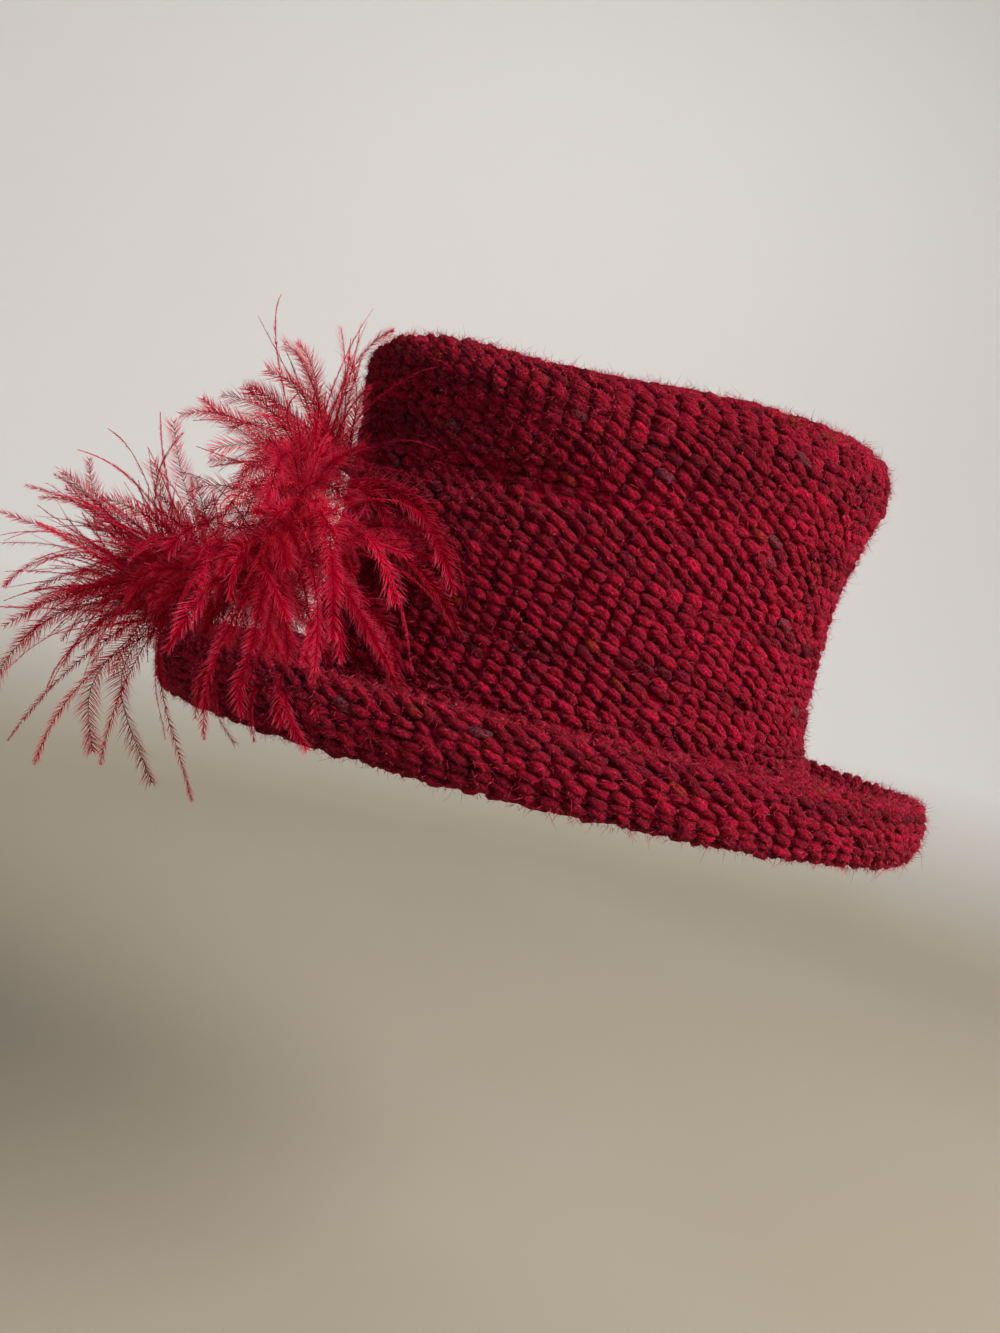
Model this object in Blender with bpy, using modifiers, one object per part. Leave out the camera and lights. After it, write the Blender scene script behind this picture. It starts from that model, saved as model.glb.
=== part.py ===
"""A knitted hat with a rolled brim and a bunch of boa feathers at its front left.

Metres, +Z up. The front is -Y and the wearer's left is +X. The origin is the middle of the head opening, at the level
where the crown ends and the brim begins.
"""

from collections import namedtuple
from math import cos, exp, pi, radians, sin

import bmesh
import bpy
from mathutils import Vector

# Knitted shell
CROWN_LENGTH = 0.216
CROWN_WIDTH = 0.176
CROWN_HEIGHT = 0.123
BRIM_LENGTH = 0.316
BRIM_WIDTH = 0.266
BRIM_SHIFT = -0.002
BRIM_DROP = 0.031
SIDE_LIFT = 0.006
RIM_WAVE = 0.0012
RIM_WAVES = 3
WALL = 0.005
GAP = 0.0003
COLUMNS = 48
CROWN_RINGS = 21
BRIM_RINGS = 19

# Feathers
CORE_DIAMETER = 0.004
CORE_REST = 0.0008
CORE_STEPS = 8
SLEEVE_DIAMETER = 0.015
FROND_LENGTH = 0.080
LOCK_WIDTH = 0.013
LOCK_THICKNESS = 0.0055
LOCK_TAPER = (0.50, 0.90, 1.00, 0.80, 0.52, 0.18)
ROOT_SHARE = 0.22
AHEAD_SHARE = 0.17
UPPER_STAND = 0.017
LOWER_STAND = 0.028
FRONT_STAND = 0.014

# Crown from its base to the middle of its tip. height is a share of CROWN_HEIGHT, front and back of half of
# CROWN_LENGTH, side of half of CROWN_WIDTH.
Section = namedtuple("Section", "height front back side")
CROWN_SECTIONS = (
    Section(0.000, 0.962, 0.972, 0.962),
    Section(0.070, 0.950, 0.960, 0.950),
    Section(0.195, 0.940, 0.945, 0.940),
    Section(0.360, 0.935, 0.945, 0.940),
    Section(0.530, 0.940, 0.955, 0.950),
    Section(0.645, 0.950, 0.985, 0.965),
    Section(0.745, 0.960, 1.013, 0.980),
    Section(0.835, 0.970, 1.037, 0.985),
    Section(0.910, 0.970, 1.035, 0.965),
    Section(0.955, 0.950, 1.000, 0.915),
    Section(0.987, 0.880, 0.930, 0.820),
    Section(1.000, 0.760, 0.810, 0.690),
    Section(1.008, 0.500, 0.530, 0.450),
    Section(1.012, 0.220, 0.230, 0.200),
)

# Brim from the crown's base to its rolled-under edge. reach is a share of the way from the crown's outline to the
# brim's, drop is a share of BRIM_DROP below the crown's base.
Roll = namedtuple("Roll", "reach drop")
BRIM_SECTIONS = (
    Roll(0.000, 0.000),
    Roll(0.010, 0.110),
    Roll(0.060, 0.215),
    Roll(0.150, 0.295),
    Roll(0.300, 0.350),
    Roll(0.480, 0.360),
    Roll(0.640, 0.315),
    Roll(0.780, 0.235),
    Roll(0.880, 0.206),
    Roll(0.950, 0.265),
    Roll(0.990, 0.410),
    Roll(1.000, 0.590),
    Roll(0.980, 0.790),
    Roll(0.930, 0.940),
    Roll(0.860, 1.000),
    Roll(0.790, 0.970),
    Roll(0.740, 0.870),
)
RIM_TOP = Roll(0.880, 0.206)

# Folds and swellings of the crown. angle runs from the front to the wearer's left in degrees, height is a share of
# CROWN_HEIGHT, and depth is a share of CROWN_WIDTH, inward where it is above zero.
Dent = namedtuple("Dent", "angle height angle_spread height_spread depth")
CROWN_DENTS = (
    Dent(50, 0.74, 34, 0.17, 0.040),
    Dent(66, 0.61, 30, 0.050, 0.034),
    Dent(58, 0.42, 34, 0.13, -0.016),
    Dent(118, 0.70, 26, 0.16, -0.010),
    Dent(-60, 0.66, 40, 0.20, 0.014),
)

# Where the tip's edge dips or stands up. rise is a share of CROWN_HEIGHT.
Crest = namedtuple("Crest", "angle angle_spread rise")
CROWN_CRESTS = (
    Crest(76, 28, -0.042),
    Crest(34, 26, 0.028),
    Crest(150, 30, 0.012),
)
CREST_HEIGHT = 0.96
CREST_SPREAD = 0.12

# Locks of each tuft. turn runs from the front to the wearer's left and rise up from the level, both in degrees at the
# root. length and droop are shares of FROND_LENGTH.
Lock = namedtuple("Lock", "turn rise length droop")
UPPER_LOCKS = (
    Lock(6, 6, 0.72, 0.05),
    Lock(-26, 12, 0.62, 0.05),
    Lock(20, 24, 0.62, 0.05),
    Lock(-8, 44, 0.52, 0.00),
    Lock(32, 58, 0.62, 0.00),
    Lock(-20, 68, 0.70, 0.00),
    Lock(110, 74, 0.68, 0.04),
    Lock(-34, -24, 0.56, 0.06),
    Lock(12, -26, 0.52, 0.06),
    Lock(-70, 34, 0.46, 0.05),
    Lock(66, 34, 0.50, 0.12),
    Lock(112, 20, 0.58, 0.06),
)
LOWER_LOCKS = (
    Lock(30, 24, 0.60, 0.80),
    Lock(62, 32, 0.62, 1.00),
    Lock(94, 34, 0.84, 1.26),
    Lock(109, 30, 0.94, 1.08),
    Lock(121, 38, 1.22, 1.20),
    Lock(133, 24, 1.12, 0.72),
    Lock(146, 16, 0.98, 0.42),
    Lock(18, -4, 0.46, 0.26),
    Lock(52, -10, 0.50, 0.28),
    Lock(86, -8, 0.56, 0.28),
    Lock(70, 64, 0.50, 0.30),
    Lock(122, 54, 0.54, 0.24),
)
FRONT_LOCKS = (
    Lock(0, 6, 0.98, 0.06),
    Lock(-24, 22, 0.86, 0.10),
    Lock(24, 20, 0.88, 0.10),
    Lock(4, 40, 0.86, 0.02),
    Lock(-20, 58, 0.68, 0.00),
    Lock(26, 72, 0.52, 0.00),
    Lock(-52, 34, 0.62, 0.12),
    Lock(-10, -4, 0.90, 0.58),
    Lock(14, 10, 0.74, 1.12),
    Lock(36, 22, 0.60, 1.16),
    Lock(60, 30, 0.58, 1.24),
    Lock(-38, 12, 0.70, 0.96),
)

# Where the two upper tufts stand off the crown, angle and height as in a dent, and the angle of the front one.
Seat = namedtuple("Seat", "angle height")
UPPER_SEAT = Seat(20, 0.54)
LOWER_SEAT = Seat(28, 0.24)
FRONT_ANGLE = 8
Point = namedtuple("Point", "x y z")

WOOL_RED = (0.235, 0.008, 0.022, 1.0)
FEATHER_RED = (0.400, 0.012, 0.045, 1.0)


def between(rows, place):
    """The table's row at place, counted in rows, on a smooth curve through the rows."""
    last = len(rows) - 1
    low = min(int(place), last - 1)
    t = place - low
    near = [rows[min(max(low + k, 0), last)] for k in (-1, 0, 1, 2)]
    before, start, end, after = ([float(v) for v in row] for row in near)
    return type(rows[0])(*(
        0.5 * (2 * b + (c - a) * t + (2 * a - 5 * b + 4 * c - d) * t ** 2 + (3 * b - a - 3 * c + d) * t ** 3)
        for a, b, c, d in zip(before, start, end, after)
    ))


def bump(offset, spread):
    return exp(-(offset / spread) ** 2)


def turn_between(angle, centre):
    """The angle from centre to angle in degrees, the short way round."""
    return (angle - centre + 180) % 360 - 180


def crown_point(angle, section):
    """The point of the crown's outer face at an angle in degrees, at a section."""
    turn = radians(angle)
    end = section.front if cos(turn) > 0 else section.back
    flat = Vector((
        section.side * CROWN_WIDTH / 2 * sin(turn),
        -end * CROWN_LENGTH / 2 * cos(turn),
        0,
    ))
    inward = sum(
        dent.depth * CROWN_WIDTH
        * bump(turn_between(angle, dent.angle), dent.angle_spread)
        * bump(section.height - dent.height, dent.height_spread)
        for dent in CROWN_DENTS
    )
    full = min(section.side, 1)
    flat -= flat.normalized() * inward * full
    rise = sum(
        crest.rise * bump(turn_between(angle, crest.angle), crest.angle_spread)
        for crest in CROWN_CRESTS
    )
    rise *= bump(min(section.height - CREST_HEIGHT, 0), CREST_SPREAD) * full
    return flat + Vector((0, 0, (section.height + rise) * CROWN_HEIGHT))


def brim_point(angle, roll):
    """The point of the brim's outer face at an angle in degrees, at a row of its roll."""
    turn = radians(angle)
    start = crown_point(angle, CROWN_SECTIONS[0])
    edge = Vector((
        BRIM_WIDTH / 2 * sin(turn),
        -BRIM_LENGTH / 2 * cos(turn) + BRIM_SHIFT,
        0,
    ))
    lift = (SIDE_LIFT * sin(turn) ** 2 + RIM_WAVE * sin(RIM_WAVES * turn)) * roll.reach ** 2
    point = start.lerp(edge, roll.reach)
    point.z = lift - GAP - roll.drop * BRIM_DROP
    return point


def place_of(height):
    """The place in CROWN_SECTIONS, counted in rows, at a share of CROWN_HEIGHT."""
    for low, (below, above) in enumerate(zip(CROWN_SECTIONS, CROWN_SECTIONS[1:])):
        if above.height >= height:
            return low + (height - below.height) / (above.height - below.height)


def crown_at(seat, stand):
    """The point that stands clear of the crown's outer face by stand, and the way out there."""
    place = place_of(seat.height)
    here = crown_point(seat.angle, between(CROWN_SECTIONS, place))
    along = crown_point(seat.angle + 1, between(CROWN_SECTIONS, place)) - here
    up = crown_point(seat.angle, between(CROWN_SECTIONS, place + 0.05)) - here
    return here + along.cross(up).normalized() * stand


def collection(name):
    made = bpy.data.collections.new(name)
    bpy.context.scene.collection.children.link(made)
    return made


def material(name, colour, roughness):
    made = bpy.data.materials.new(name)
    made.use_nodes = True
    shader = made.node_tree.nodes["Principled BSDF"]
    shader.inputs["Base Color"].default_value = colour
    shader.inputs["Roughness"].default_value = roughness
    shader.inputs["Metallic"].default_value = 0
    return made


def add_object(name, mesh, group, finish=None):
    made = bpy.data.objects.new(name, mesh)
    group.objects.link(made)
    if finish:
        mesh.materials.append(finish)
    return made


def loft(name, rings, pole=None):
    """An open surface through rings of points, closed at pole where there is one."""
    shape = bmesh.new()
    rows = [[shape.verts.new(point) for point in ring] for ring in rings]
    count = len(rows[0])
    for low, high in zip(rows, rows[1:]):
        for k in range(count):
            n = (k + 1) % count
            shape.faces.new((low[k], low[n], high[n], high[k]))
    if pole:
        tip = shape.verts.new(pole)
        for k in range(count):
            shape.faces.new((rows[-1][k], rows[-1][(k + 1) % count], tip))
    mesh = bpy.data.meshes.new(name)
    shape.to_mesh(mesh)
    shape.free()
    mesh.shade_smooth()
    return mesh


def thicken(shell):
    wall = shell.modifiers.new("wall", "SOLIDIFY")
    wall.thickness = WALL
    wall.offset = -1
    wall.use_even_offset = True


def angles():
    return [360 * k / COLUMNS for k in range(COLUMNS)]


def make_crown(group, wool):
    last = len(CROWN_SECTIONS) - 1
    rings = [
        [crown_point(angle, between(CROWN_SECTIONS, last * k / (CROWN_RINGS - 1))) for angle in angles()]
        for k in range(CROWN_RINGS)
    ]
    top = sum(point.z for point in rings[-1]) / COLUMNS
    crown = add_object("crown", loft("crown", rings, (0, 0, top)), group, wool)
    thicken(crown)


def make_brim(group, wool):
    last = len(BRIM_SECTIONS) - 1
    rolls = [between(BRIM_SECTIONS, last * k / (BRIM_RINGS - 1)) for k in range(BRIM_RINGS)]
    rings = [[brim_point(angle, roll) for angle in angles()] for roll in reversed(rolls)]
    brim = add_object("brim", loft("brim", rings), group, wool)
    thicken(brim)


def core_route():
    """The core's points from the crown to the brim, and the middles of the three tufts."""
    sewn = crown_at(UPPER_SEAT, CORE_REST)
    upper = crown_at(UPPER_SEAT, UPPER_STAND)
    lower = crown_at(LOWER_SEAT, LOWER_STAND)
    rim = brim_point(FRONT_ANGLE, RIM_TOP)
    front = rim + Vector((0, -FRONT_STAND * AHEAD_SHARE, FRONT_STAND))
    end = rim + Vector((0, 0, CORE_REST))
    stops = [Point(*stop) for stop in (sewn, upper, lower, front, end)]
    route = [
        Vector(between(stops, k / CORE_STEPS))
        for k in range(CORE_STEPS * (len(stops) - 1) + 1)
    ]
    return route, (upper, lower, front)


def tube(name, points, radius, group):
    """A mesh tube along points, with its caps welded."""
    curve = bpy.data.curves.new(name, "CURVE")
    curve.dimensions = "3D"
    curve.bevel_depth = radius
    curve.bevel_resolution = 2
    curve.use_fill_caps = True
    spline = curve.splines.new("POLY")
    spline.points.add(len(points) - 1)
    for knot, point in zip(spline.points, points):
        knot.co = (*point, 1)
    guide = bpy.data.objects.new(name, curve)
    group.objects.link(guide)
    bpy.context.view_layer.update()
    mesh = bpy.data.meshes.new_from_object(guide.evaluated_get(bpy.context.evaluated_depsgraph_get()))
    bpy.data.objects.remove(guide)
    bpy.data.curves.remove(curve)
    shape = bmesh.new()
    shape.from_mesh(mesh)
    bmesh.ops.remove_doubles(shape, verts=shape.verts, dist=0.00001)
    shape.to_mesh(mesh)
    shape.free()
    mesh.name = name
    return mesh


def lock_mesh(root, lock):
    """A flat tapered lock that starts inside the sleeve around root and bends down along its length."""
    turn, rise = radians(lock.turn), radians(lock.rise)
    way = Vector((sin(turn) * cos(rise), -cos(turn) * cos(rise), sin(rise)))
    side = way.cross(Vector((0, 0, 1))).normalized()
    length = lock.length * FROND_LENGTH
    droop = lock.droop * FROND_LENGTH
    start = root + way * SLEEVE_DIAMETER * ROOT_SHARE
    rings = []
    for k, taper in enumerate(LOCK_TAPER):
        share = k / (len(LOCK_TAPER) - 1)
        middle = start + way * length * share - Vector((0, 0, droop * share ** 2))
        heading = (way * length - Vector((0, 0, 2 * droop * share))).normalized()
        across = side * LOCK_WIDTH / 2
        thick = heading.cross(side).normalized() * LOCK_THICKNESS / 2
        rings.append([middle + spoke * taper for spoke in (across, thick, -across, -thick)])
    shape = bmesh.new()
    rows = [[shape.verts.new(point) for point in ring] for ring in rings]
    for low, high in zip(rows, rows[1:]):
        for k in range(4):
            shape.faces.new((low[k], low[(k + 1) % 4], high[(k + 1) % 4], high[k]))
    shape.faces.new(rows[0])
    shape.faces.new(rows[-1])
    bmesh.ops.triangulate(shape, faces=shape.faces)
    bmesh.ops.recalc_face_normals(shape, faces=shape.faces)
    mesh = bpy.data.meshes.new("lock")
    shape.to_mesh(mesh)
    shape.free()
    return mesh


def combine(body, other, operation):
    """Join or cut body with another object, which is used up."""
    step = body.modifiers.new(operation, "BOOLEAN")
    step.operation = operation
    step.object = other
    bpy.context.view_layer.update()
    mesh = bpy.data.meshes.new_from_object(body.evaluated_get(bpy.context.evaluated_depsgraph_get()))
    body.modifiers.clear()
    used = body.data
    body.data = mesh
    mesh.name = body.name
    bpy.data.meshes.remove(used)
    bpy.data.objects.remove(other)


def make_tuft(name, middle, locks, bore, group, cutters, feather):
    """Locks fused to a sleeve that is bored for the core."""
    shape = bmesh.new()
    bmesh.ops.create_uvsphere(shape, u_segments=12, v_segments=8, radius=SLEEVE_DIAMETER / 2)
    bmesh.ops.translate(shape, verts=shape.verts, vec=middle)
    mesh = bpy.data.meshes.new(name)
    shape.to_mesh(mesh)
    shape.free()
    tuft = add_object(name, mesh, group, feather)
    for lock in locks:
        combine(tuft, add_object("lock", lock_mesh(middle, lock), cutters), "UNION")
    combine(tuft, add_object("bore", bore.copy(), cutters), "DIFFERENCE")
    tuft.data.shade_smooth()
    tuft.data.set_sharp_from_angle(angle=radians(40))


def main():
    for old in list(bpy.data.objects):
        bpy.data.objects.remove(old)
    group = collection("feathered_hat")
    cutters = collection("cutters")
    wool = material("tweed_wool", WOOL_RED, 0.95)
    feather = material("ostrich", FEATHER_RED, 0.6)

    make_crown(group, wool)
    make_brim(group, wool)
    route, middles = core_route()
    add_object("boa_core", tube("boa_core", route, CORE_DIAMETER / 2, cutters), group, feather)
    bore = tube("bore", route, CORE_DIAMETER / 2 + GAP, cutters)
    tufts = (
        ("upper_tuft", UPPER_LOCKS),
        ("lower_tuft", LOWER_LOCKS),
        ("front_tuft", FRONT_LOCKS),
    )
    for (name, locks), middle in zip(tufts, middles):
        make_tuft(name, middle, locks, bore, group, cutters, feather)


main()
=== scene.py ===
from math import cos, radians, sin

import bmesh
import bpy
import numpy as np
from mathutils import Matrix, Vector


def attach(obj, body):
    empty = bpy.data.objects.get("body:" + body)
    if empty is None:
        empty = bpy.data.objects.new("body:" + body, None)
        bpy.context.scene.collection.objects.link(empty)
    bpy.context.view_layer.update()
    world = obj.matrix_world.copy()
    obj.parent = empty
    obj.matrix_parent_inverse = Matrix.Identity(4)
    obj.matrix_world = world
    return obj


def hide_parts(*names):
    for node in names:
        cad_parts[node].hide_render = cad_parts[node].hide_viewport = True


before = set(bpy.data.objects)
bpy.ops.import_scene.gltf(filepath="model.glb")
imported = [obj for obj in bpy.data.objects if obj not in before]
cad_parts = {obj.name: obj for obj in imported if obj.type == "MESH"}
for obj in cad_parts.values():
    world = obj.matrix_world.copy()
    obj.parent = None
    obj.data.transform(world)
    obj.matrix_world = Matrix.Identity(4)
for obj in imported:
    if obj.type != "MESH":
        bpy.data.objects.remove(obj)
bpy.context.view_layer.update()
mm = 0.001
body = "root"


# Hat block: the same sizes and tables as the source of the solids.
hatBlock = {
    "crownLength": 0.216, "crownWidth": 0.176, "crownHeight": 0.123,
    "brimLength": 0.316, "brimWidth": 0.266, "brimShift": -0.002, "brimDrop": 0.031,
    "sideLift": 0.006, "rimWave": 0.0012, "rimWaves": 3, "gap": 0.0003, "wall": 0.005,
    "crestHeight": 0.96, "crestSpread": 0.12,
}
crownSections = (  # height, front, back, side
    (0.000, 0.962, 0.972, 0.962), (0.070, 0.950, 0.960, 0.950), (0.195, 0.940, 0.945, 0.940),
    (0.360, 0.935, 0.945, 0.940), (0.530, 0.940, 0.955, 0.950), (0.645, 0.950, 0.985, 0.965),
    (0.745, 0.960, 1.013, 0.980), (0.835, 0.970, 1.037, 0.985), (0.910, 0.970, 1.035, 0.965),
    (0.955, 0.950, 1.000, 0.915), (0.987, 0.880, 0.930, 0.820), (1.000, 0.760, 0.810, 0.690),
    (1.008, 0.500, 0.530, 0.450), (1.012, 0.220, 0.230, 0.200),
)
brimSections = (  # reach, drop
    (0.000, 0.000), (0.010, 0.110), (0.060, 0.215), (0.150, 0.295), (0.300, 0.350), (0.480, 0.360),
    (0.640, 0.315), (0.780, 0.235), (0.880, 0.206), (0.950, 0.265), (0.990, 0.410), (1.000, 0.590),
    (0.980, 0.790), (0.930, 0.940), (0.860, 1.000), (0.790, 0.970), (0.740, 0.870),
)
crownDents = (  # angle, height, angle spread, height spread, depth
    (50, 0.74, 34, 0.17, 0.040), (66, 0.61, 30, 0.050, 0.034), (58, 0.42, 34, 0.13, -0.016),
    (118, 0.70, 26, 0.16, -0.010), (-60, 0.66, 40, 0.20, 0.014),
)
crownCrests = ((76, 28, -0.042), (34, 26, 0.028), (150, 30, 0.012))  # angle, angle spread, rise
crownLast = len(crownSections) - 1
brimLast = len(brimSections) - 1


def smoothRows(rows, place):  # a smooth curve through the table's rows
    rows = np.asarray(rows, float)
    last = len(rows) - 1
    place = np.asarray(place, float)
    low = np.clip(np.floor(place).astype(int), 0, last - 1)
    t = (place - low)[..., None]
    before, start, end, after = (rows[np.clip(low + k, 0, last)] for k in (-1, 0, 1, 2))
    square = 2 * before - 5 * start + 4 * end - after
    cube = 3 * start - before - 3 * end + after
    return 0.5 * (2 * start + (end - before) * t + square * t ** 2 + cube * t ** 3)


def bump(offset, spread):
    return np.exp(-(offset / spread) ** 2)


def turnBetween(angle, centre):
    return (angle - centre + 180) % 360 - 180


def crownRing(angle, place):
    height, front, back, side = np.moveaxis(smoothRows(crownSections, np.minimum(place, crownLast)), -1, 0)
    turn = np.radians(angle)
    end = np.where(np.cos(turn) > 0, front, back)
    flat = np.stack([
        side * hatBlock["crownWidth"] / 2 * np.sin(turn),
        -end * hatBlock["crownLength"] / 2 * np.cos(turn),
    ], -1)
    inward = sum(
        depth * hatBlock["crownWidth"] * bump(turnBetween(angle, a), spread) * bump(height - h, tall)
        for a, h, spread, tall, depth in crownDents
    )
    full = np.minimum(side, 1)
    flat = flat - flat / np.linalg.norm(flat, axis=-1, keepdims=True) * (inward * full)[..., None]
    rise = sum(lift * bump(turnBetween(angle, a), spread) for a, spread, lift in crownCrests)
    rise = rise * bump(np.minimum(height - hatBlock["crestHeight"], 0), hatBlock["crestSpread"]) * full
    return np.concatenate([flat, ((height + rise) * hatBlock["crownHeight"])[..., None]], -1)


allRound = np.arange(0, 360, 7.5)
crownPole = np.array([0, 0, crownRing(allRound, np.full(allRound.shape, crownLast)).mean(0)[2]])


def crownSurface(angle, place):  # outer face of the crown, from its base to the middle of the tip
    angle, place = np.broadcast_arrays(np.asarray(angle, float), np.asarray(place, float))
    ring = crownRing(angle, place)
    return ring + (crownPole - ring) * np.clip(place - crownLast, 0, 1)[..., None]


def brimSurface(angle, place):  # outer face of the brim, from the crown's base to the rolled edge
    angle, place = np.broadcast_arrays(np.asarray(angle, float), np.asarray(place, float))
    reach, drop = np.moveaxis(smoothRows(brimSections, place), -1, 0)
    turn = np.radians(angle)
    start = crownRing(angle, np.zeros(angle.shape))
    edge = np.stack([
        hatBlock["brimWidth"] / 2 * np.sin(turn),
        -hatBlock["brimLength"] / 2 * np.cos(turn) + hatBlock["brimShift"],
        0 * turn,
    ], -1)
    points = start + (edge - start) * reach[..., None]
    lift = hatBlock["sideLift"] * np.sin(turn) ** 2
    wave = hatBlock["rimWave"] * np.sin(hatBlock["rimWaves"] * turn)
    points[..., 2] = (lift + wave) * reach ** 2 - hatBlock["gap"] - drop * hatBlock["brimDrop"]
    return points


def unit(vectors):
    return vectors / np.maximum(np.linalg.norm(vectors, axis=-1, keepdims=True), 1e-9)


def surfaceFrame(surface, angle, place, side):  # point, way round, way up the rows and way out
    here = surface(angle, place)
    along = unit(surface(angle + 0.5, place) - surface(angle - 0.5, place))
    up = surface(angle, place + 0.02) - surface(angle, np.maximum(place - 0.02, 0))
    up = unit(up - along * (up * along).sum(-1, keepdims=True))
    return here, along, up, side * np.cross(along, up)


# Materials
def linear(hexText):  # sRGB hex to the linear colour that a socket takes
    parts = [int(hexText[k:k + 2], 16) / 255 for k in (1, 3, 5)]
    return (*(c / 12.92 if c <= 0.04045 else ((c + 0.055) / 1.055) ** 2.4 for c in parts), 1.0)


def addNode(tree, kind, settings=None, links=None):
    node = tree.nodes.new("ShaderNode" + kind)
    for name, value in (settings or {}).items():
        if name == "stops":
            ramp = node.color_ramp
            while len(ramp.elements) < len(value):
                ramp.elements.new(0.5)
            for stop, (place, colour) in zip(ramp.elements, value):
                stop.position, stop.color = place, linear(colour)
        elif isinstance(name, int) or name in node.inputs:
            node.inputs[name].default_value = value
        else:
            setattr(node, name, value)
    for name, source in (links or {}).items():
        tree.links.new(source, node.inputs[name])
    return node


def newMaterial(name, settings):
    made = bpy.data.materials.new(name)
    made.use_nodes = True
    tree = made.node_tree
    shader = tree.nodes["Principled BSDF"]
    for socket, value in settings.items():
        shader.inputs[socket].default_value = value
    return made, tree, shader


# Bulky singles wool spun with neps, knitted by hand: matt, with a soft bright edge where its fibres stand up, and
# painted shade on the low ends of each stitch, where it dives between its neighbours.
tweed = {
    # shade is the colour of the painted shade between stitches and between loops
    "shade": "#1C0006", "dark": "#5A0014", "middle": "#A2002A", "bright": "#D0043C",
    "charcoal": "#141216", "grey": "#5C5458", "amber": "#A83A14", "cherry": "#D40A34",
    "pileTint": "#F09AA8", "clumpMm": 1.1, "fibreMm": 0.5, "pileMm": 2.4,
    "alongYarn": 0.22, "acrossYarn": 0.4, "twist": 24, "darkest": 0.10, "lightest": 2.0, "fleckFrom": 0.05,
}


def tweedWool():
    made, tree, shader = newMaterial("wool tweed yarn, hand knitted", {
        "Roughness": 0.95, "Sheen Weight": 0.10, "Sheen Roughness": 0.45,
        "Sheen Tint": linear(tweed["pileTint"]), "Specular IOR Level": 0.08,
    })
    marks = addNode(tree, "Attribute", {"attribute_name": "yarnMarks"})
    split = addNode(tree, "SeparateColor", {}, {"Color": marks.outputs["Color"]})
    lay = addNode(tree, "UVMap", {"uv_map": "yarnLay"})
    spot = addNode(tree, "TexCoord")
    fibres = addNode(tree, "TexNoise", {
        "Scale": 1 / (tweed["clumpMm"] * mm), "Detail": 4.0, "Roughness": 0.75}, {
            "Vector": spot.outputs["Object"]})
    drawn = addNode(tree, "Mapping", {
        "Scale": (tweed["alongYarn"], tweed["acrossYarn"] / tweed["fibreMm"], 1.0),
        "Rotation": (0, 0, radians(tweed["twist"]))}, {"Vector": lay.outputs["UV"]})
    strands = addNode(tree, "TexNoise", {"Scale": 1.6, "Detail": 3.0, "Roughness": 0.7, "Distortion": 0.4}, {
        "Vector": drawn.outputs["Vector"]})
    tone = addNode(tree, "ValToRGB", {"stops": [
        (0.0, tweed["dark"]), (0.5, tweed["middle"]), (1.0, tweed["bright"])]}, {"Fac": split.outputs["Red"]})
    mottle = addNode(tree, "Math", {"operation": "MULTIPLY"}, {
        0: fibres.outputs["Fac"], 1: strands.outputs["Fac"]})
    streak = addNode(tree, "MapRange", {
        "From Min": 0.14, "From Max": 0.36, "To Min": tweed["darkest"], "To Max": tweed["lightest"]}, {
            "Value": mottle.outputs["Value"]})
    streaked = addNode(tree, "Mix", {"data_type": "RGBA", "blend_type": "MULTIPLY", 0: 1.0}, {
        6: tone.outputs["Color"], 7: streak.outputs["Result"]})
    ragged = addNode(tree, "MapRange", {"From Min": 0.48, "From Max": 0.56}, {"Value": fibres.outputs["Fac"]})
    isFleck = addNode(tree, "Math", {"operation": "GREATER_THAN", 1: tweed["fleckFrom"]}, {
        0: split.outputs["Green"]})
    fleckShare = addNode(tree, "Math", {"operation": "MULTIPLY"}, {
        0: ragged.outputs["Result"], 1: isFleck.outputs["Value"]})
    fleck = addNode(tree, "ValToRGB", {"stops": [
        (0.0, tweed["charcoal"]), (0.375, tweed["grey"]),
        (0.625, tweed["amber"]), (0.875, tweed["cherry"])]}, {"Fac": split.outputs["Green"]})
    fleck.color_ramp.interpolation = "CONSTANT"
    flecked = addNode(tree, "Mix", {"data_type": "RGBA"}, {
        0: fleckShare.outputs["Value"], 6: streaked.outputs[2], 7: fleck.outputs["Color"]})
    # painted shade: the low part of each stitch, where it dives between its neighbours, is darkened towards the
    # shade colour
    deep = addNode(tree, "MapRange", {"From Min": 0.15, "From Max": 0.70}, {"Value": split.outputs["Blue"]})
    shaded = addNode(tree, "Mix", {"data_type": "RGBA", 6: linear(tweed["shade"])}, {
        0: deep.outputs["Result"], 7: flecked.outputs[2]})
    tree.links.new(shaded.outputs[2], shader.inputs["Base Color"])
    both = addNode(tree, "Math", {"operation": "MULTIPLY_ADD", 1: 2.2}, {
        0: mottle.outputs["Value"], 2: strands.outputs["Fac"]})
    relief = addNode(tree, "Bump", {"Strength": 1.0, "Distance": tweed["pileMm"] * mm}, {
        "Height": both.outputs["Value"]})
    tree.links.new(relief.outputs["Normal"], shader.inputs["Normal"])
    return made


# The same knit from its other side, where rows of purl loops lie flat: drawn as relief on the shell, with painted
# shade between the loops.
reverseSide = {"fibresPerMetre": 900.0, "cloudsPerMetre": 90.0, "uneven": 0.55, "reliefMm": 0.5, "loopShare": 2.5}


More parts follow.
